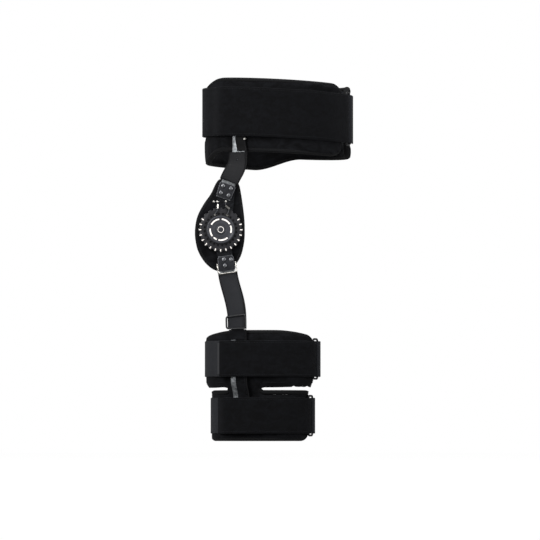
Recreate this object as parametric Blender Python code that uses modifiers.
"""Range-of-motion hip brace: waist belt, dial hinge, two sleeved bars and a thigh cuff.

Metres, +Z up. The wearer faces -Y and the hinge is on the wearer's right side, -X.
The origin is the middle of the waist opening.
"""

import math

import bmesh
import bpy
from mathutils import Matrix, Vector

# ---- clearances
GAP = 0.0003            # between pieces that touch
SLIDE = 0.0005          # between pieces that move past each other

# ---- waist belt: half sizes of the opening that the waist fills
WAIST_HALF_WIDTH = 0.1395
WAIST_HALF_DEPTH = 0.1095
WAIST_PAD_THICKNESS = 0.009
WAIST_PAD_TOP = 0.063
WAIST_PAD_BOTTOM = -0.060
WAIST_BACK_DROP = 0.022          # the back of the pad reaches lower than its sides
WAIST_BACK_TOP_DROP = 0.015     # the pad's top edge is lower at the back too
WAIST_SLOPE = 0.045              # the belt lies lower in front by this share of its depth
WAIST_PAD_START = -256.0         # degrees from the right side towards the front
WAIST_PAD_END = 87.0
WAIST_STRAP_HEIGHT = 0.082
WAIST_STRAP_MIDDLE = 0.006
WAIST_RING_ANGLE = 93.5
WAIST_STRAP_TAIL = -95.0         # where the folded strap ends, at the back
WAIST_PAD_CORNER_ANGLE = 14.0    # degrees over which the pad's ends are rounded
WAIST_PAD_CORNER = 0.020
BELT_BAR_ANGLE = -7.5
BAR_HUMP_SHIFT = 3.0             # a strap rises over a bar a little forward of it

# ---- thigh cuff
THIGH_UPPER_RADIUS = 0.0850
THIGH_LOWER_RADIUS = 0.0752
THIGH_PAD_THICKNESS = 0.008
THIGH_PAD_START = -74.0          # degrees from the outer side towards the front
THIGH_PAD_END = 91.0
THIGH_PAD_CORNER_ANGLE = 16.0
THIGH_PAD_CORNER = 0.014
CUFF_TOP_ARCH = 0.010            # the pad's top edge falls away from the bar by this much
SLOT_HEIGHT = 0.011
FRONT_SLOT_START = 19.0
BACK_SLOT_START = -22.0
THIGH_STRAP_HEIGHT = 0.060
SKIN_GAP = 0.0015                # between the thigh and a strap past the pad's ends
CUFF_BAR_ANGLE = -5.0

# ---- straps
STRAP_THICKNESS = 0.0020
HOOK_TAB_THICKNESS = 0.0012
HOOK_TAB_LENGTH = 0.045
RING_WIRE_RADIUS = 0.0017
RING_INNER_WIDTH = 0.014         # between a ring's two upright bars, centre to centre less wire
SEWN_LENGTH = 0.030              # strap sewn back on itself at its first end
STRAP_SLACK = 0.0002             # a strap lies this much looser than the gap
STEP = 5.0                       # degrees between the sections of pads and straps

# ---- drops down the side: waist to dial, dial to the middle of the cuff
DIAL_RADIUS = 0.037
HINGE_DROP = 0.156 + DIAL_RADIUS
CUFF_DROP = 0.2625
HINGE_CENTRE = Vector((-WAIST_HALF_WIDTH - 0.0485, 0.034, -HINGE_DROP))
SLOT_MIDDLE = HINGE_CENTRE.z - CUFF_DROP
THIGH_MIDDLE = Vector((THIGH_UPPER_RADIUS - WAIST_HALF_WIDTH - 0.0405, -0.005, 0.0))
UPPER_STRAP_MIDDLE = SLOT_MIDDLE + 0.0475
LOWER_STRAP_MIDDLE = SLOT_MIDDLE - 0.0475
THIGH_STEP_TOP = SLOT_MIDDLE + 0.0170        # between these heights the thigh narrows
THIGH_STEP_BOTTOM = SLOT_MIDDLE - 0.0115
CUFF_TOP = UPPER_STRAP_MIDDLE + THIGH_STRAP_HEIGHT / 2 + 0.017
CUFF_BOTTOM = LOWER_STRAP_MIDDLE - THIGH_STRAP_HEIGHT / 2 - 0.012

# ---- dial hinge: its axis points out to the side, turned forward by this angle
HINGE_TURN = 22.0
DIAL_NOTCHES = 24
DIAL_NOTCH_RADIUS = 0.0021
DIAL_HOLE_CIRCLE = DIAL_RADIUS - 0.0106
DIAL_THICKNESS = 0.0070
CAP_RADIUS = DIAL_HOLE_CIRCLE - 0.0029
CAP_THICKNESS = 0.0034
PLATE_THICKNESS = 0.0022
PLATE_RADIUS = DIAL_RADIUS - 0.0058
FULL_FLEXION = 90.0              # degrees, from the straight leg
FLEXION_STOP_ANGLE = 24.0        # degrees clockwise from straight up
EXTENSION_STOP_ANGLE = -21.0
STOP_PIN_RADIUS = 0.0012
DIAL_HOLE_RADIUS = STOP_PIN_RADIUS + 0.0004
HOLE_OFFSET = 1.5                # degrees from the notches to the holes
AXLE_RADIUS = 0.0040
HINGE_PAD_THICKNESS = 0.008

# ---- bars, sleeves and brackets
BAR_WIDTH = 0.024
BAR_THICKNESS = 0.0025
SLEEVE_WIDTH = 0.032
SLEEVE_WALL = 0.0014
SLEEVE_CLEARANCE = 0.0009        # between a bar and the sleeve round it
UPPER_BAR_LEAN = 19.0            # degrees, the top of the bar forward
LOWER_BAR_LEAN = 8.4             # degrees, the foot of the bar forward
UPPER_TONGUE = Vector((0.0085, DIAL_RADIUS + 0.0278, 0.0))
LOWER_TONGUE = Vector((0.0095, -DIAL_RADIUS - 0.0190, 0.0))
BRACKET_LENGTH = 0.025
BRACKET_WIDTH = 0.028
BRACKET_THICKNESS = 0.0020
RIVET_RADIUS = 0.0020
RIVET_HEAD_RADIUS = RIVET_RADIUS * 1.7
BAIL_WIRE_RADIUS = 0.00115

# ---- the pose that is modelled, and the slot that the two stop pins leave free
REST_FLEXION = UPPER_BAR_LEAN + LOWER_BAR_LEAN
PIN_HALF_ANGLE = math.degrees(STOP_PIN_RADIUS / DIAL_HOLE_CIRCLE) + 0.6
STOP_SLOT_START = EXTENSION_STOP_ANGLE - PIN_HALF_ANGLE - REST_FLEXION
STOP_SLOT_END = FLEXION_STOP_ANGLE + PIN_HALF_ANGLE + FULL_FLEXION - REST_FLEXION

# ---- levels along the hinge axis, outward from the middle of the moving plate
MOVING_BACK = -PLATE_THICKNESS / 2
MOVING_FRONT = PLATE_THICKNESS / 2
FIXED_FRONT = MOVING_BACK - GAP
FIXED_BACK = FIXED_FRONT - PLATE_THICKNESS
DIAL_BACK = MOVING_FRONT + GAP
DIAL_FRONT = DIAL_BACK + DIAL_THICKNESS
CAP_BACK = DIAL_FRONT + GAP
CAP_FRONT = CAP_BACK + CAP_THICKNESS
HINGE_PAD_FRONT = FIXED_BACK - GAP
BAR_BACK = MOVING_FRONT + GAP
BAR_FRONT = BAR_BACK + BAR_THICKNESS
BRACKET_BACK = BAR_FRONT + GAP
BRACKET_FRONT = BRACKET_BACK + BRACKET_THICKNESS

for old in list(bpy.data.objects):
    bpy.data.objects.remove(old, do_unlink=True)

brace = bpy.data.collections.new("hip_brace")
bpy.context.scene.collection.children.link(brace)
cutters = bpy.data.collections.new("cutters")
bpy.context.scene.collection.children.link(cutters)


def finish(name, colour, roughness, metallic=0.0):
    """Return a material with one colour, roughness and metallic value."""
    made = bpy.data.materials.new(name)
    made.use_nodes = True
    shader = made.node_tree.nodes["Principled BSDF"]
    shader.inputs["Base Color"].default_value = (*colour, 1.0)
    shader.inputs["Roughness"].default_value = roughness
    shader.inputs["Metallic"].default_value = metallic
    return made


PLUSH = finish("black_plush", (0.008, 0.008, 0.009), 0.95)
VELOUR = finish("black_velour", (0.012, 0.012, 0.013), 0.9)
WEBBING = finish("grey_webbing", (0.028, 0.028, 0.031), 0.8)
BLACK_WEBBING = finish("black_webbing", (0.013, 0.013, 0.015), 0.8)
HOOK = finish("hook_tape", (0.02, 0.02, 0.02), 0.9)
LEATHER = finish("black_cover", (0.020, 0.020, 0.021), 0.55)
GREY_STEEL = finish("grey_steel", (0.060, 0.060, 0.065), 0.45, 0.6)
ALUMINIUM = finish("aluminium", (0.45, 0.46, 0.47), 0.45, 1.0)
STEEL = finish("black_steel", (0.05, 0.05, 0.055), 0.4, 0.8)
NICKEL = finish("nickel_wire", (0.75, 0.74, 0.72), 0.2, 1.0)
BLACK_WIRE = finish("black_wire", (0.03, 0.03, 0.03), 0.3, 0.6)
DIAL_PLASTIC = finish("dial_plastic", (0.012, 0.012, 0.013), 0.45)
CAP_PLASTIC = finish("cap_plastic", (0.035, 0.035, 0.038), 0.4)
FOAM = finish("black_foam", (0.01, 0.01, 0.01), 0.95)


# ---- frames ----------------------------------------------------------------------------
def side_frame(origin, turn):
    """Local X forward, Y up, Z outward from the wearer's right side, turned forward."""
    out = Vector((-math.cos(math.radians(turn)), -math.sin(math.radians(turn)), 0.0))
    up = Vector((0.0, 0.0, 1.0))
    forward = up.cross(out)
    turned = Matrix((forward, up, out)).transposed().to_4x4()
    return Matrix.Translation(origin) @ turned


HINGE_FRAME = side_frame(HINGE_CENTRE, HINGE_TURN)


def empty(name, frame):
    made = bpy.data.objects.new(name, None)
    made.matrix_world = frame
    brace.objects.link(made)
    return made


hinge = empty("hinge_axis", HINGE_FRAME)


def smooth(value):
    """Ease from 0 to 1 as value goes from 0 to 1."""
    value = min(max(value, 0.0), 1.0)
    return value * value * (3.0 - 2.0 * value)


def hump(angle, middle, flat, foot):
    """1 within flat degrees of the middle, 0 past foot degrees, smooth between."""
    away = abs((angle - middle + 180.0) % 360.0 - 180.0)
    return 1.0 - smooth((away - flat) / (foot - flat))


# ---- where cloth lies on the body ------------------------------------------------------
def on_waist(angle, offset, height):
    """A point off the waist: degrees from the right side to the front, then outward."""
    turn = math.radians(angle)
    forward = (WAIST_HALF_DEPTH + offset) * math.sin(turn)
    return Vector((-(WAIST_HALF_WIDTH + offset) * math.cos(turn), -forward,
                   height - WAIST_SLOPE * forward))


def thigh_radius(height):
    """Even under each strap, and narrowing across the slots between them."""
    drop = smooth((THIGH_STEP_TOP - height) / (THIGH_STEP_TOP - THIGH_STEP_BOTTOM))
    return THIGH_UPPER_RADIUS + (THIGH_LOWER_RADIUS - THIGH_UPPER_RADIUS) * drop


def on_thigh(angle, offset, height):
    turn = math.radians(angle)
    reach = thigh_radius(height) + offset
    return THIGH_MIDDLE + Vector((-reach * math.cos(turn), -reach * math.sin(turn), height))


# ---- makers ----------------------------------------------------------------------------
def add(name, mesh, material, group=None, parent=None):
    made = bpy.data.objects.new(name, mesh)
    if material:
        mesh.materials.clear()
        mesh.materials.append(material)
    (group or brace).objects.link(made)
    if parent:
        made.parent = parent
    return made


def hide(cutter):
    cutter.hide_render = True
    cutter.display_type = "WIRE"
    return cutter


def cloth(name, columns, rows, place, thickness, material, group=None, closed=False):
    """A sheet mapped from a grid by place(column, row), given a thickness outward."""
    form = bmesh.new()
    bmesh.ops.create_grid(form, x_segments=columns, y_segments=rows, size=0.5)
    for corner in form.verts:
        column = round((corner.co.x + 0.5) * columns)
        row = round((corner.co.y + 0.5) * rows)
        corner.co = place(column, row)
    if closed:
        bmesh.ops.remove_doubles(form, verts=form.verts, dist=0.00001)
    mesh = bpy.data.meshes.new(name)
    form.to_mesh(mesh)
    form.free()
    made = add(name, mesh, material, group)
    wall = made.modifiers.new("wall", "SOLIDIFY")
    wall.thickness = thickness
    wall.offset = 1.0
    wall.use_even_offset = False
    return made


def prism(name, outline, low, high, material, group=None, parent=hinge):
    """A flat outline in the hinge frame, from level low to level high."""
    form = bmesh.new()
    base = [form.verts.new((x, y, low)) for x, y in outline]
    face = form.faces.new(base)
    grown = bmesh.ops.extrude_face_region(form, geom=[face])
    moved = [part for part in grown["geom"] if isinstance(part, bmesh.types.BMVert)]
    bmesh.ops.translate(form, verts=moved, vec=(0.0, 0.0, high - low))
    bmesh.ops.recalc_face_normals(form, faces=form.faces)
    mesh = bpy.data.meshes.new(name)
    form.to_mesh(mesh)
    form.free()
    return add(name, mesh, material, group, parent)


def disc(name, radius, low, high, material, at=(0.0, 0.0), sides=48, group=None, parent=hinge):
    form = bmesh.new()
    bmesh.ops.create_cone(form, cap_ends=True, segments=sides, radius1=radius, radius2=radius,
                          depth=high - low,
                          matrix=Matrix.Translation((at[0], at[1], (low + high) / 2)))
    mesh = bpy.data.meshes.new(name)
    form.to_mesh(mesh)
    form.free()
    return add(name, mesh, material, group, parent)


def turned(name, profile, material, at=(0.0, 0.0), sides=32, parent=hinge):
    """A profile of (radius, level) pairs, spun round the local Z axis."""
    form = bmesh.new()
    line = [form.verts.new((radius, 0.0, level)) for radius, level in profile]
    edges = [form.edges.new(pair) for pair in zip(line, line[1:])]
    bmesh.ops.spin(form, geom=line + edges, cent=(0, 0, 0), axis=(0, 0, 1),
                   angle=math.tau, steps=sides, use_merge=True)
    bmesh.ops.remove_doubles(form, verts=form.verts, dist=0.00001)
    bmesh.ops.recalc_face_normals(form, faces=form.faces)
    bmesh.ops.translate(form, verts=form.verts, vec=(at[0], at[1], 0.0))
    mesh = bpy.data.meshes.new(name)
    form.to_mesh(mesh)
    form.free()
    return add(name, mesh, material, None, parent)


def wire(name, points, radius, material, cyclic=False, parent=None):
    """A round wire along the points, with filled ends."""
    curve = bpy.data.curves.new(name, "CURVE")
    curve.dimensions = "3D"
    curve.bevel_depth = radius
    curve.bevel_resolution = 2
    curve.use_fill_caps = True
    spline = curve.splines.new("POLY")
    spline.points.add(len(points) - 1)
    for point, place in zip(spline.points, points):
        point.co = (*place, 1.0)
    spline.use_cyclic_u = cyclic
    made = bpy.data.objects.new(name, curve)
    curve.materials.append(material)
    brace.objects.link(made)
    if parent:
        made.parent = parent
    return made


def cut(target, cutter, operation="DIFFERENCE"):
    change = target.modifiers.new(cutter.name, "BOOLEAN")
    change.operation = operation
    change.object = cutter
    hide(cutter)


def rounded(width, height, radius, middle=(0.0, 0.0), lean=0.0, steps=3):
    """Corners of a rounded rectangle, turned clockwise by lean degrees."""
    points = []
    turn = math.radians(-lean)
    for quarter in range(4):
        sign_x = (1, -1, -1, 1)[quarter]
        sign_y = (1, 1, -1, -1)[quarter]
        for step in range(steps + 1):
            angle = math.radians(90.0 * (quarter + step / steps))
            x = sign_x * (width / 2 - radius) + radius * math.cos(angle)
            y = sign_y * (height / 2 - radius) + radius * math.sin(angle)
            points.append((middle[0] + x * math.cos(turn) - y * math.sin(turn),
                           middle[1] + x * math.sin(turn) + y * math.cos(turn)))
    return points


def polar(radius, angle):
    """A point in the hinge frame, degrees clockwise from straight up."""
    turn = math.radians(angle)
    return (radius * math.sin(turn), radius * math.cos(turn))


# ---- pads ------------------------------------------------------------------------------
def pad_edge(angle, start, end, corner):
    """How far the edge of a pad has turned the corner near its two ends, 0 to 1."""
    near = min(angle - start, end - angle)
    if near >= corner:
        return 0.0
    short = 1.0 - max(near, 0.0) / corner
    return 1.0 - math.sqrt(max(0.0, 1.0 - short * short))


def pad_angles(start, end, corner):
    """Section angles: close together where the corners are round."""
    fine = [corner * part for part in (0.0, 0.08, 0.3, 0.6, 1.0)]
    count = max(1, round((end - start - 2 * corner) / STEP))
    middle = [start + corner + (end - start - 2 * corner) * k / count for k in range(1, count)]
    return [start + f for f in fine] + middle + [end - f for f in reversed(fine)]


def waist_pad_low(angle):
    back = hump(angle, -100.0, 35.0, 75.0)
    return WAIST_PAD_BOTTOM - WAIST_BACK_DROP * back


def waist_pad_high(angle):
    back = hump(angle, -100.0, 35.0, 75.0)
    return WAIST_PAD_TOP - WAIST_BACK_TOP_DROP * back


def make_waist_pad():
    angles = pad_angles(WAIST_PAD_START, WAIST_PAD_END, WAIST_PAD_CORNER_ANGLE)
    rows = 4

    def place(column, row):
        angle = angles[column]
        turn = pad_edge(angle, WAIST_PAD_START, WAIST_PAD_END, WAIST_PAD_CORNER_ANGLE)
        inset = WAIST_PAD_CORNER * turn
        low = waist_pad_low(angle) + inset
        high = waist_pad_high(angle) - inset
        return on_waist(angle, 0.0, low + (high - low) * row / rows)

    return cloth("waist_pad", len(angles) - 1, rows, place, WAIST_PAD_THICKNESS, VELOUR)


def make_thigh_pad():
    angles = pad_angles(THIGH_PAD_START, THIGH_PAD_END, THIGH_PAD_CORNER_ANGLE)
    steps = 5
    levels = steps + 2

    def place(column, row):
        angle = angles[column]
        inset = THIGH_PAD_CORNER * pad_edge(angle, THIGH_PAD_START, THIGH_PAD_END,
                                            THIGH_PAD_CORNER_ANGLE)
        arch = CUFF_TOP_ARCH * (1.0 - hump(angle, 15.0, 20.0, 90.0))
        if row == 0:
            return on_thigh(angle, 0.0, CUFF_BOTTOM + inset)
        if row == levels:
            return on_thigh(angle, 0.0, CUFF_TOP - arch - inset)
        rise = (THIGH_STEP_TOP - THIGH_STEP_BOTTOM) * (row - 1) / steps
        return on_thigh(angle, 0.0, THIGH_STEP_BOTTOM + rise)

    pad = cloth("thigh_pad", len(angles) - 1, levels, place, THIGH_PAD_THICKNESS, VELOUR)
    for name, inner, outer in (("front_slot", FRONT_SLOT_START, THIGH_PAD_END + 19.0),
                               ("back_slot", BACK_SLOT_START, THIGH_PAD_START - 21.0)):
        cut(pad, make_slot(name, inner, outer))
    return pad


def make_slot(name, inner, outer):
    """A slot cutter round the thigh with a round inner end."""
    toward = 1.0 if outer > inner else -1.0
    round_end = math.degrees(SLOT_HEIGHT / 2 / THIGH_UPPER_RADIUS)
    shares = [0.0, 0.15, 0.5, 1.0]
    angles = [inner + toward * round_end * share for share in shares]
    count = 12
    angles += [angles[3] + (outer - angles[3]) * k / count for k in range(1, count + 1)]

    def place(column, row):
        angle = angles[column]
        near = min(abs(angle - inner) / round_end, 1.0)
        half = SLOT_HEIGHT / 2 * math.sqrt(max(0.0, 1.0 - (1.0 - near) ** 2))
        half = max(half, 0.0004)
        side = (row - 0.5) * 2.0 * toward
        return on_thigh(angle, -0.010, SLOT_MIDDLE + side * half)

    return cloth(name, len(angles) - 1, 1, place, 0.030, FOAM, cutters)


# ---- straps with a sewn loop round a ring and a folded tail -------------------------------
def strap_route(ring_angle, per_degree, base, free_end):
    """(angle, offset) pairs along the middle of a strap, from the sewn end to the tail.

    The strap is sewn round the ring's far bar, goes right round the body, passes through
    the ring and folds back over itself round the near bar.
    """
    bend = RING_WIRE_RADIUS + GAP + STRAP_THICKNESS / 2
    half_ring = RING_INNER_WIDTH / 2 + RING_WIRE_RADIUS
    near_bar = ring_angle - half_ring / per_degree
    far_bar = ring_angle + half_ring / per_degree
    apart = STRAP_THICKNESS + HOOK_TAB_THICKNESS + 2 * GAP
    sewn = SEWN_LENGTH / per_degree

    def outer(angle, bar):
        away = smooth(abs(angle - bar) / sewn)
        return base(angle) + 2 * bend + (apart - 2 * bend) * away

    route = []
    for k in range(5):
        angle = far_bar + sewn * (1.0 - k / 5)
        route.append((angle, outer(angle, far_bar)))
    for k in range(7):
        turn = math.radians(90.0 - 180.0 * k / 6)
        route.append((far_bar - bend * math.cos(turn) / per_degree,
                      base(far_bar) + bend + bend * math.sin(turn)))
    first = far_bar
    last = near_bar + 360.0
    count = round((last - first) / STEP)
    route += [(first + (last - first) * k / count, base(first + (last - first) * k / count))
              for k in range(1, count)]
    for k in range(7):
        turn = math.radians(-90.0 + 180.0 * k / 6)
        route.append((last + bend * math.cos(turn) / per_degree,
                      base(near_bar) + bend + bend * math.sin(turn)))
    tail = free_end + 360.0
    count = round((last - tail) / STEP)
    for k in range(1, count + 1):
        angle = last + (tail - last) * k / count
        route.append((angle, outer(angle, last)))
    return route


def make_strap(name, place_on, route, middle, height, material):
    """A band along the route; its outline is swept so that it stays one piece."""
    half = STRAP_THICKNESS / 2
    spots = [place_on(angle, offset, middle) for angle, offset in route]

    def sideways(index):
        before = spots[max(index - 1, 0)]
        after = spots[min(index + 1, len(spots) - 1)]
        along = (after - before).normalized()
        return along.cross(Vector((0.0, 0.0, 1.0)))

    def place(column, row):
        angle, offset = route[column]
        z = middle + height * (row - 0.5)
        spot = place_on(angle, offset, z)
        return spot - sideways(column) * half

    return cloth(name, len(route) - 1, 1, place, STRAP_THICKNESS, material)


def make_ring(name, place_on, ring_angle, per_degree, base, middle, height, material):
    bend = RING_WIRE_RADIUS + GAP + STRAP_THICKNESS / 2
    half_ring = RING_INNER_WIDTH / 2 + RING_WIRE_RADIUS
    half_height = height / 2 + RING_WIRE_RADIUS + SLIDE + 0.001
    corner = 0.003
    near = ring_angle - half_ring / per_degree
    far = ring_angle + half_ring / per_degree
    near_level = base(near) + bend
    far_level = base(far) + bend
    left = place_on(near, near_level, middle)
    right = place_on(far, far_level, middle)
    across = (right - left).normalized()
    width = (right - left).length
    points = []
    for x, y in rounded(width, 2 * half_height, corner):
        spot = (left + right) / 2 + across * x
        points.append(spot + Vector((0.0, 0.0, y)))
    return wire(name, points, RING_WIRE_RADIUS, material, cyclic=True)


def make_hook_tab(name, place_on, base, tail, middle, height, per_degree, material):
    """Thin hook tape between the strap and its folded tail, at the tail's end."""
    length = HOOK_TAB_LENGTH / per_degree
    count = 6
    level = STRAP_THICKNESS / 2 + GAP

    def place(column, row):
        angle = tail + 1.0 + length * column / count
        z = middle + (height - 0.008) * (row - 0.5)
        return place_on(angle, base(angle) + level, z)

    return cloth(name, count, 1, place, HOOK_TAB_THICKNESS, material)


# ---- waist belt --------------------------------------------------------------------------
BAR_LIFT = 0.0008        # how far the bars stand off the pads
POCKET_THICKNESS = 0.0012
STRAP_CLEARANCE = 0.0018 # between a stud or pocket and the strap over it
BAR_STACK = BAR_LIFT + BAR_THICKNESS + POCKET_THICKNESS + 3 * GAP + STRAP_CLEARANCE
WAIST_PER_DEGREE = (WAIST_HALF_WIDTH + WAIST_PAD_THICKNESS) * math.pi / 180.0


def waist_strap_base(angle):
    over_bar = BAR_STACK * hump(angle, BELT_BAR_ANGLE + BAR_HUMP_SHIFT, 14.0, 32.0)
    return WAIST_PAD_THICKNESS + GAP + over_bar + STRAP_THICKNESS / 2 + STRAP_SLACK


waist_pad = make_waist_pad()
waist_route = strap_route(WAIST_RING_ANGLE, WAIST_PER_DEGREE, waist_strap_base,
                          WAIST_STRAP_TAIL)
make_strap("waist_strap", on_waist, waist_route, WAIST_STRAP_MIDDLE, WAIST_STRAP_HEIGHT, PLUSH)
make_ring("waist_ring", on_waist, WAIST_RING_ANGLE, WAIST_PER_DEGREE, waist_strap_base,
          WAIST_STRAP_MIDDLE, WAIST_STRAP_HEIGHT, BLACK_WIRE)
make_hook_tab("waist_hook_tab", on_waist, waist_strap_base, WAIST_STRAP_TAIL,
              WAIST_STRAP_MIDDLE, WAIST_STRAP_HEIGHT,
              (WAIST_HALF_DEPTH + WAIST_PAD_THICKNESS) * math.pi / 180.0, HOOK)

# ---- thigh cuff --------------------------------------------------------------------------
thigh_pad = make_thigh_pad()
THIGH_STRAPS = (
    ("upper_thigh", UPPER_STRAP_MIDDLE, THIGH_UPPER_RADIUS, 88.0, -28.0),
    ("lower_thigh", LOWER_STRAP_MIDDLE, THIGH_LOWER_RADIUS, 90.0, -38.0),
)


def thigh_strap_base(angle):
    """Over the pad on the outer side of the thigh, close to the skin elsewhere."""
    on_pad = hump(angle, 8.5, 88.0, 125.0)
    over_bar = BAR_STACK * hump(angle, CUFF_BAR_ANGLE + BAR_HUMP_SHIFT, 14.0, 36.0)
    lift = SKIN_GAP + (THIGH_PAD_THICKNESS - SKIN_GAP) * on_pad
    return lift + GAP + over_bar + STRAP_THICKNESS / 2 + STRAP_SLACK


for label, strap_middle, radius, ring_at, tail_at in THIGH_STRAPS:
    per_degree = (radius + THIGH_PAD_THICKNESS) * math.pi / 180.0
    route_round = strap_route(ring_at, per_degree, thigh_strap_base, tail_at)
    make_strap(label + "_strap", on_thigh, route_round, strap_middle, THIGH_STRAP_HEIGHT, PLUSH)
    make_ring(label + "_ring", on_thigh, ring_at, per_degree, thigh_strap_base, strap_middle,
              THIGH_STRAP_HEIGHT, BLACK_WIRE)
    make_hook_tab(label + "_hook_tab", on_thigh, thigh_strap_base, tail_at, strap_middle,
                  THIGH_STRAP_HEIGHT, per_degree, HOOK)


# ---- bars: a section (middle, across, out) at each height ----------------------------------
UPPER_BEND_FOOT = HINGE_CENTRE.z + UPPER_TONGUE.y + 0.0162
UPPER_BEND_HEAD = WAIST_PAD_BOTTOM - 0.002
LOWER_BEND_HEAD = HINGE_CENTRE.z + LOWER_TONGUE.y - 0.0190
LOWER_BEND_FOOT = CUFF_TOP + 0.009


def hinge_point(x, y, level):
    return HINGE_FRAME @ Vector((x, y, level))


def hinge_direction(x, y, level):
    return (HINGE_FRAME.to_3x3() @ Vector((x, y, level))).normalized()


def cloth_direction(place_on, angle, height):
    """Outward direction of the body surface at an angle."""
    before = place_on(angle - 1.0, 0.0, height)
    after = place_on(angle + 1.0, 0.0, height)
    return (after - before).cross(Vector((0.0, 0.0, 1.0))).normalized()


def upper_section(height):
    """Section of the upper bar at a world height: twisted from the hinge to the belt."""
    y = height - HINGE_CENTRE.z
    lean = math.tan(math.radians(UPPER_BAR_LEAN))
    x = UPPER_TONGUE.x + (y - UPPER_TONGUE.y) * lean
    level = (BAR_BACK + BAR_FRONT) / 2
    at_hinge = hinge_point(x, y, level)
    out_hinge = hinge_direction(0, 0, 1)
    offset = WAIST_PAD_THICKNESS + BAR_LIFT + BAR_THICKNESS / 2
    at_belt = on_waist(BELT_BAR_ANGLE, offset, height)
    out_belt = cloth_direction(on_waist, BELT_BAR_ANGLE, height)
    share = smooth((height - UPPER_BEND_FOOT) / (UPPER_BEND_HEAD - UPPER_BEND_FOOT))
    middle = at_hinge.lerp(at_belt, share)
    bulge = 0.0020 * math.exp(-((height - UPPER_BEND_HEAD + 0.009) / 0.012) ** 2)
    middle += out_belt * bulge
    return middle, out_hinge.lerp(out_belt, share).normalized()


def lower_section(height):
    y = height - HINGE_CENTRE.z
    lean = math.tan(math.radians(LOWER_BAR_LEAN))
    x = LOWER_TONGUE.x - (y - LOWER_TONGUE.y) * lean
    level = (BAR_BACK + BAR_FRONT) / 2
    at_hinge = hinge_point(x, y, level)
    out_hinge = hinge_direction(0, 0, 1)
    offset = THIGH_PAD_THICKNESS + BAR_LIFT + BAR_THICKNESS / 2
    stand_off = thigh_radius(height + 0.006) - thigh_radius(height)
    at_cuff = on_thigh(CUFF_BAR_ANGLE, offset + stand_off, height)
    out_cuff = cloth_direction(on_thigh, CUFF_BAR_ANGLE, height)
    share = smooth((LOWER_BEND_HEAD - height) / (LOWER_BEND_HEAD - LOWER_BEND_FOOT))
    return at_hinge.lerp(at_cuff, share), out_hinge.lerp(out_cuff, share).normalized()


def strip_sections(section, heights):
    """Middle, across and out directions along a bar; across points forward."""
    found = []
    for height in heights:
        middle, out = section(height)
        ahead, _ = section(height + 0.002)
        behind, _ = section(height - 0.002)
        along = (ahead - behind).normalized()
        out = (out - along * out.dot(along)).normalized()
        across = along.cross(out)
        found.append((middle, across, out))
    return found


def make_strip(name, sections, width, low, high, material, shift=0.0):
    """A flat strip whose faces lie at levels low and high off the bar's middle."""
    count = len(sections) - 1

    def place(column, row):
        middle, across, out = sections[row]
        return middle + across * (shift + width * (column / 2 - 0.5)) + out * low

    return cloth(name, 2, count, place, high - low, material)


def make_sleeve(name, sections, material):
    """A flat open tube round the bar."""
    depth = BAR_THICKNESS / 2 + SLEEVE_CLEARANCE + SLEEVE_WALL
    half = SLEEVE_WIDTH / 2
    edge = 0.0022
    ring = [(half - edge, -depth), (half, -depth + edge), (half, depth - edge),
            (half - edge, depth), (0.0, depth), (-half + edge, depth), (-half, depth - edge),
            (-half, -depth + edge), (-half + edge, -depth), (0.0, -depth)]
    sides = len(ring)
    count = len(sections) - 1

    def place(column, row):
        middle, across, out = sections[row]
        x, level = ring[-column % sides]
        return middle + across * x + out * level

    tube = cloth(name, sides, count, place, SLEEVE_WALL, material, closed=True)
    tube.modifiers["wall"].offset = -1.0
    tube.modifiers["wall"].use_even_offset = True
    return tube


def heights_between(low, high, step=0.005):
    """Both ends and the shared heights between them, so that layers bend at one place."""
    first = math.floor(low / step) + 1
    last = math.ceil(high / step) - 1
    shared = [step * k for k in range(first, last + 1)]
    inner = [height for height in shared if low + 0.001 < height < high - 0.001]
    return [low] + inner + [high]


HALF = BAR_THICKNESS / 2
UPPER_BAR_FOOT = HINGE_CENTRE.z + UPPER_TONGUE.y - 0.0123
UPPER_SLEEVE_FOOT = HINGE_CENTRE.z + UPPER_TONGUE.y + BRACKET_LENGTH / 2 + 0.0035
UPPER_SLEEVE_TOP = WAIST_PAD_BOTTOM - 0.0025
UPPER_BAR_TOP = -0.004
upper_bar_sections = strip_sections(upper_section,
                                    heights_between(UPPER_BAR_FOOT, UPPER_BAR_TOP))
make_strip("upper_bar", upper_bar_sections, BAR_WIDTH, -HALF, HALF, ALUMINIUM)
upper_sleeve_sections = strip_sections(upper_section,
                                       heights_between(UPPER_SLEEVE_FOOT, UPPER_SLEEVE_TOP))
make_sleeve("upper_sleeve", upper_sleeve_sections, BLACK_WEBBING)
KEEPER_FOOT = WAIST_PAD_BOTTOM - 0.0010
keeper_sections = strip_sections(upper_section, heights_between(KEEPER_FOOT, -0.020))
make_strip("belt_bar_keeper", keeper_sections, 0.020, HALF + GAP, HALF + GAP + POCKET_THICKNESS,
           LEATHER, shift=0.0060)

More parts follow.
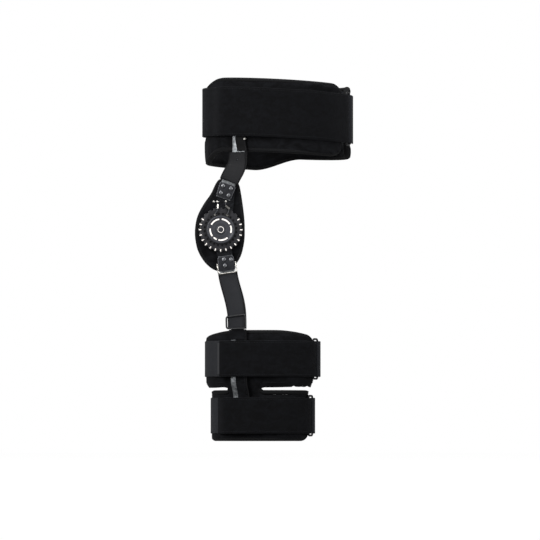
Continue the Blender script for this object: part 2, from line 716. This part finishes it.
LOWER_BAR_HEAD = HINGE_CENTRE.z + LOWER_TONGUE.y + 0.0125
LOWER_SLEEVE_HEAD = HINGE_CENTRE.z + LOWER_TONGUE.y - BRACKET_LENGTH / 2 - 0.0025
LOWER_SLEEVE_FOOT = CUFF_TOP + 0.0025
LOWER_BAR_FOOT = CUFF_BOTTOM + 0.017
lower_bar_sections = strip_sections(lower_section,
                                    heights_between(LOWER_BAR_FOOT, LOWER_BAR_HEAD))
make_strip("lower_bar", lower_bar_sections, BAR_WIDTH, -HALF, HALF, ALUMINIUM)
lower_sleeve_sections = strip_sections(lower_section,
                                       heights_between(LOWER_SLEEVE_FOOT, LOWER_SLEEVE_HEAD))
make_sleeve("lower_sleeve", lower_sleeve_sections, WEBBING)
pocket_sections = strip_sections(lower_section,
                                 heights_between(CUFF_BOTTOM + 0.011, CUFF_TOP + 0.0015))
make_strip("cuff_bar_pocket", pocket_sections, 0.022, HALF + GAP, HALF + GAP + POCKET_THICKNESS,
           VELOUR, shift=0.0070)


# ---- dial hinge ----------------------------------------------------------------------------
def arc(radius, start, end, count):
    return [polar(radius, start + (end - start) * k / count) for k in range(count + 1)]


def neck(tongue, lean, half_width, reach):
    """The two far corners of a plate's tongue."""
    turn = math.radians(lean)
    along = Vector((math.sin(turn), math.cos(turn)))
    side = Vector((math.cos(turn), -math.sin(turn)))
    tip = Vector((tongue.x, tongue.y)) + along * reach
    return [tuple(tip + side * half_width), tuple(tip - side * half_width)]


# fixed plate: a disc with a neck that leans forward
right_tip, left_tip = neck(UPPER_TONGUE, UPPER_BAR_LEAN, BRACKET_WIDTH / 2 - 0.001,
                           BRACKET_LENGTH / 2)
fixed_outline = arc(PLATE_RADIUS, 40.0, 340.0, 36) + [left_tip, right_tip]
upper_plate = prism("upper_hinge_plate", fixed_outline, FIXED_BACK, FIXED_FRONT, STEEL)

# moving plate: a disc with an arm and a curved slot for the stop pins
left_foot, right_foot = neck(LOWER_TONGUE, 180.0 - LOWER_BAR_LEAN, BRACKET_WIDTH / 2 - 0.001,
                             BRACKET_LENGTH / 2)
arm_middle = 180.0 - 9.6
moving_outline = (arc(PLATE_RADIUS, arm_middle + 24.0, arm_middle + 336.0, 36)
                  + [right_foot, left_foot])
lower_plate = prism("lower_hinge_plate", moving_outline, MOVING_BACK, MOVING_FRONT, STEEL)
slot_half = STOP_PIN_RADIUS + SLIDE
stop_slot = prism("stop_slot",
                  arc(DIAL_HOLE_CIRCLE + slot_half, STOP_SLOT_START, STOP_SLOT_END, 24)
                  + arc(DIAL_HOLE_CIRCLE - slot_half, STOP_SLOT_END, STOP_SLOT_START, 24),
                  MOVING_BACK - 0.002, MOVING_FRONT + 0.002, STEEL, cutters)
cut(lower_plate, stop_slot)
axle_bore = disc("axle_bore", AXLE_RADIUS + GAP, -0.02, 0.02, STEEL, sides=24, group=cutters)
cut(lower_plate, axle_bore)
cut(upper_plate, axle_bore)

# dial ring: notched rim, a circle of holes, a skirt that meets the fixed plate at the top
rim = []
notch_share = 0.30
for notch in range(DIAL_NOTCHES):
    middle = 360.0 * (notch + 0.5) / DIAL_NOTCHES
    spread = 360.0 / DIAL_NOTCHES
    rim.append(polar(DIAL_RADIUS, middle - spread * 0.5))
    rim.append(polar(DIAL_RADIUS, middle - spread * notch_share))
    rim.append(polar(DIAL_RADIUS - DIAL_NOTCH_RADIUS, middle - spread * 0.14))
    rim.append(polar(DIAL_RADIUS - DIAL_NOTCH_RADIUS, middle + spread * 0.14))
    rim.append(polar(DIAL_RADIUS, middle + spread * notch_share))
dial = prism("dial_ring", rim, DIAL_BACK, DIAL_FRONT, DIAL_PLASTIC)
skirt = prism("dial_skirt",
              arc(DIAL_RADIUS - 0.0028, -60.0, 75.0, 14)
              + arc(PLATE_RADIUS + SLIDE, 75.0, -60.0, 14),
              MOVING_BACK, DIAL_BACK + 0.001, DIAL_PLASTIC, cutters)
cut(dial, skirt, "UNION")
cut(dial, axle_bore)
for hole in range(DIAL_NOTCHES):
    angle = 360.0 * (hole + 0.5) / DIAL_NOTCHES + HOLE_OFFSET
    hole_cutter = disc(f"dial_hole_{hole + 1}", DIAL_HOLE_RADIUS, DIAL_BACK - 0.001,
                       DIAL_FRONT + 0.001, DIAL_PLASTIC, at=polar(DIAL_HOLE_CIRCLE, angle),
                       sides=10, group=cutters)
    cut(dial, hole_cutter)

# dial cap: shallow dome with a raised ring
turned("dial_cap", [(AXLE_RADIUS + GAP, CAP_BACK), (CAP_RADIUS, CAP_BACK),
                    (CAP_RADIUS, CAP_BACK + 0.0018), (CAP_RADIUS - 0.0012, CAP_FRONT),
                    (CAP_RADIUS - 0.0034, CAP_FRONT), (CAP_RADIUS - 0.0042, CAP_FRONT - 0.0008),
                    (AXLE_RADIUS + GAP, CAP_FRONT - 0.0004), (AXLE_RADIUS + GAP, CAP_BACK)],
       CAP_PLASTIC, sides=48)

# axle: a rivet through the whole stack, with a washer under its rear head
WASHER_BACK = FIXED_BACK - GAP - 0.0010
turned("axle_washer", [(AXLE_RADIUS + GAP, WASHER_BACK), (0.0085, WASHER_BACK),
                       (0.0085, FIXED_BACK - GAP), (AXLE_RADIUS + GAP, FIXED_BACK - GAP),
                       (AXLE_RADIUS + GAP, WASHER_BACK)], STEEL, sides=24)
HEAD_FRONT = CAP_FRONT - 0.0004 + GAP
turned("hinge_axle", [(0.0, WASHER_BACK - GAP - 0.0014), (0.0070, WASHER_BACK - GAP - 0.0014),
                      (0.0070, WASHER_BACK - GAP), (AXLE_RADIUS, WASHER_BACK - GAP),
                      (AXLE_RADIUS, HEAD_FRONT), (0.0078, HEAD_FRONT),
                      (0.0060, HEAD_FRONT + 0.0011), (0.0, HEAD_FRONT + 0.0013)],
       CAP_PLASTIC, sides=24)

# hinge pad: soft pad between the plates and the hip, drawn for a dial of 37 mm radius
pad_outline = [(-0.008, 0.076), (-0.003, 0.084), (0.010, 0.088), (0.023, 0.085), (0.031, 0.076),
               (0.034, 0.060), (0.037, 0.040), (0.040, 0.014), (0.040, -0.018), (0.034, -0.044),
               (0.022, -0.062), (0.004, -0.070), (-0.012, -0.066), (-0.026, -0.054),
               (-0.038, -0.034), (-0.043, -0.006), (-0.039, 0.022), (-0.027, 0.044),
               (-0.015, 0.060)]
wider = DIAL_RADIUS - 0.037
pad_outline = [(x + math.copysign(wider, x), y + math.copysign(wider, y)) for x, y in pad_outline]
hinge_pad = prism("hinge_pad", list(reversed(pad_outline)),
                  HINGE_PAD_FRONT - HINGE_PAD_THICKNESS, HINGE_PAD_FRONT, FOAM)
soft_edge = hinge_pad.modifiers.new("soft_edge", "BEVEL")
soft_edge.width = 0.002
soft_edge.segments = 2
axle_pocket = disc("axle_pocket", 0.0095, HINGE_PAD_FRONT - 0.0036, HINGE_PAD_FRONT + 0.002,
                   FOAM, sides=20, group=cutters)
cut(hinge_pad, axle_pocket)


# stop pins: a pin in a dial hole with a wire handle that lies out over the rim
def make_stop(name, angle, handle):
    level = DIAL_FRONT + STOP_PIN_RADIUS + GAP
    points = [Vector((*polar(DIAL_HOLE_CIRCLE, angle), MOVING_BACK + 0.0002)),
              Vector((*polar(DIAL_HOLE_CIRCLE, angle), level - 0.0014)),
              Vector((*polar(DIAL_HOLE_CIRCLE + 0.0005, angle), level - 0.0004)),
              Vector((*polar(DIAL_HOLE_CIRCLE + 0.0015, angle), level))]
    for past_rim, direction in handle:
        points.append(Vector((*polar(DIAL_RADIUS + past_rim, direction), level)))
    return wire(name, points, STOP_PIN_RADIUS, NICKEL, parent=hinge)


def hole_angle(wanted):
    """The nearest hole of the dial."""
    spread = 360.0 / DIAL_NOTCHES
    return round((wanted - HOLE_OFFSET) / spread - 0.5) * spread + spread * 0.5 + HOLE_OFFSET


make_stop("flexion_stop", hole_angle(FLEXION_STOP_ANGLE),
          [(-0.0030, 24.0), (0.0025, 21.0), (0.0055, 15.0), (0.0085, 7.0), (0.0105, 9.5)])
make_stop("extension_stop", hole_angle(EXTENSION_STOP_ANGLE),
          [(-0.0030, -12.0), (0.0030, -8.0), (0.0085, -6.5), (0.0100, -9.0), (0.0105, -14.0)])


# ---- brackets, rivets and wire loops ---------------------------------------------------------
def bracket_hole(tongue, lean, x, y):
    turn = math.radians(lean)
    return (tongue.x + x * math.cos(turn) + y * math.sin(turn),
            tongue.y - x * math.sin(turn) + y * math.cos(turn))


def make_bracket(name, tongue, lean, label, spots, plate_back):
    cover = prism(name, rounded(BRACKET_WIDTH, BRACKET_LENGTH, 0.004, (tongue.x, tongue.y), lean),
                  BRACKET_BACK, BRACKET_FRONT, GREY_STEEL)
    for number, (x, y) in enumerate(spots, 1):
        at = bracket_hole(tongue, lean, x, y)
        bore = disc(f"{label}_bore_{number}", RIVET_RADIUS + GAP, -0.03, 0.03, STEEL, at=at,
                    sides=12, group=cutters)
        cut(cover, bore)
        rivet_bores.setdefault(label, []).append(bore)
        turned(f"{label}_rivet_{number}",
               [(0.0, plate_back - GAP - 0.0010), (RIVET_HEAD_RADIUS, plate_back - GAP - 0.0010),
                (RIVET_HEAD_RADIUS, plate_back - GAP), (RIVET_RADIUS, plate_back - GAP),
                (RIVET_RADIUS, BRACKET_FRONT + GAP), (RIVET_HEAD_RADIUS, BRACKET_FRONT + GAP),
                (RIVET_HEAD_RADIUS * 0.8, BRACKET_FRONT + GAP + 0.0010),
                (0.0, BRACKET_FRONT + GAP + 0.0015)], STEEL, at=at, sides=12)


rivet_bores = {}
UPPER_RIVETS = [(-0.0068, 0.0065), (0.0068, 0.0065), (-0.0068, -0.0055), (0.0068, -0.0055)]
LOWER_RIVETS = [(0.0085, 0.0050), (-0.0030, 0.0070), (-0.0030, -0.0035)]
make_bracket("upper_bracket", UPPER_TONGUE, UPPER_BAR_LEAN, "upper", UPPER_RIVETS, FIXED_BACK)
make_bracket("lower_bracket", LOWER_TONGUE, -LOWER_BAR_LEAN, "lower", LOWER_RIVETS, MOVING_BACK)
for x, y in UPPER_RIVETS:
    pocket = disc(f"rivet_pocket_{x:.4f}_{y:.4f}", RIVET_HEAD_RADIUS + SLIDE,
                  HINGE_PAD_FRONT - 0.0016, HINGE_PAD_FRONT + 0.002, FOAM,
                  at=bracket_hole(UPPER_TONGUE, UPPER_BAR_LEAN, x, y), sides=12, group=cutters)
    cut(hinge_pad, pocket)
for label, pieces in (("upper", ("upper_hinge_plate", "upper_bar")),
                      ("lower", ("lower_hinge_plate", "lower_bar"))):
    for piece in pieces:
        for bore in rivet_bores[label]:
            cut(bpy.data.objects[piece], bore)

# nickel bail: a wire loop over the lower bracket that swings out on its two bent ends
bail_level = BRACKET_FRONT + BAIL_WIRE_RADIUS + GAP
half_bail = BRACKET_WIDTH / 2 + GAP + BAIL_WIRE_RADIUS


def bail_point(x, y, level):
    return Vector((*bracket_hole(LOWER_TONGUE, -LOWER_BAR_LEAN, x, y), level))


BAIL_PIVOT_Y = 0.0005
BAIL_PIVOT_LEVEL = BRACKET_BACK + BRACKET_THICKNESS / 2
bail_pivot = empty("bail_axis", HINGE_FRAME @ Matrix.Translation(
    bail_point(0.0, BAIL_PIVOT_Y, BAIL_PIVOT_LEVEL)))
bail_points = [(-half_bail, BAIL_PIVOT_Y, BAIL_PIVOT_LEVEL),
               (-half_bail, BAIL_PIVOT_Y - 0.004, bail_level),
               (-half_bail, -0.0125, bail_level), (-half_bail + 0.0012, -0.0152, bail_level),
               (-half_bail + 0.004, -0.0165, bail_level), (half_bail - 0.004, -0.0165, bail_level),
               (half_bail - 0.0012, -0.0152, bail_level), (half_bail, -0.0125, bail_level),
               (half_bail, BAIL_PIVOT_Y - 0.004, bail_level),
               (half_bail, BAIL_PIVOT_Y, BAIL_PIVOT_LEVEL)]
pivot_spot = bail_point(0.0, BAIL_PIVOT_Y, BAIL_PIVOT_LEVEL)
wire("wire_bail", [bail_point(*spot) - pivot_spot for spot in bail_points], BAIL_WIRE_RADIUS,
     NICKEL, parent=bail_pivot)


# studs on the sleeve and the keeper, and the black keeper ring at the cuff
def make_stud(name, section, height, shift, foot, radius, material):
    (middle, across, out), = strip_sections(section, [height])
    form = bmesh.new()
    bmesh.ops.create_cone(form, cap_ends=True, segments=16, radius1=radius, radius2=radius * 0.7,
                          depth=0.0012, matrix=Matrix.Translation((0, 0, 0.0006)))
    mesh = bpy.data.meshes.new(name)
    form.to_mesh(mesh)
    form.free()
    made = add(name, mesh, material)
    frame = Matrix((across, out.cross(across), out)).transposed().to_4x4()
    made.matrix_world = Matrix.Translation(middle + across * shift + out * foot) @ frame
    return made


sleeve_face = BAR_THICKNESS / 2 + SLEEVE_CLEARANCE + SLEEVE_WALL
STUD_RADIUS = 0.0022
make_stud("upper_sleeve_stud", upper_section, UPPER_SLEEVE_TOP - 0.014, 0.0, sleeve_face + GAP,
          STUD_RADIUS, STEEL)
make_stud("keeper_stud", upper_section, -0.0400, 0.0130, HALF + POCKET_THICKNESS + 2 * GAP,
          STUD_RADIUS, NICKEL)


def make_keeper_ring():
    """A flat ring over the sleeve, bent to follow it."""
    radius = 0.0015
    level = sleeve_face + radius + GAP
    points = []
    for x, y in rounded(SLEEVE_WIDTH + 0.003, 0.021, 0.004):
        (middle, across, out), = strip_sections(lower_section, [LOWER_SLEEVE_FOOT + 0.011 + y])
        points.append(middle + across * x + out * level)
    return wire("cuff_keeper_ring", points, radius, BLACK_WIRE, cyclic=True)


make_keeper_ring()

for made in brace.objects:
    if made.type == "MESH":
        made.data.shade_smooth()
        made.data.set_sharp_from_angle(angle=math.radians(35.0))
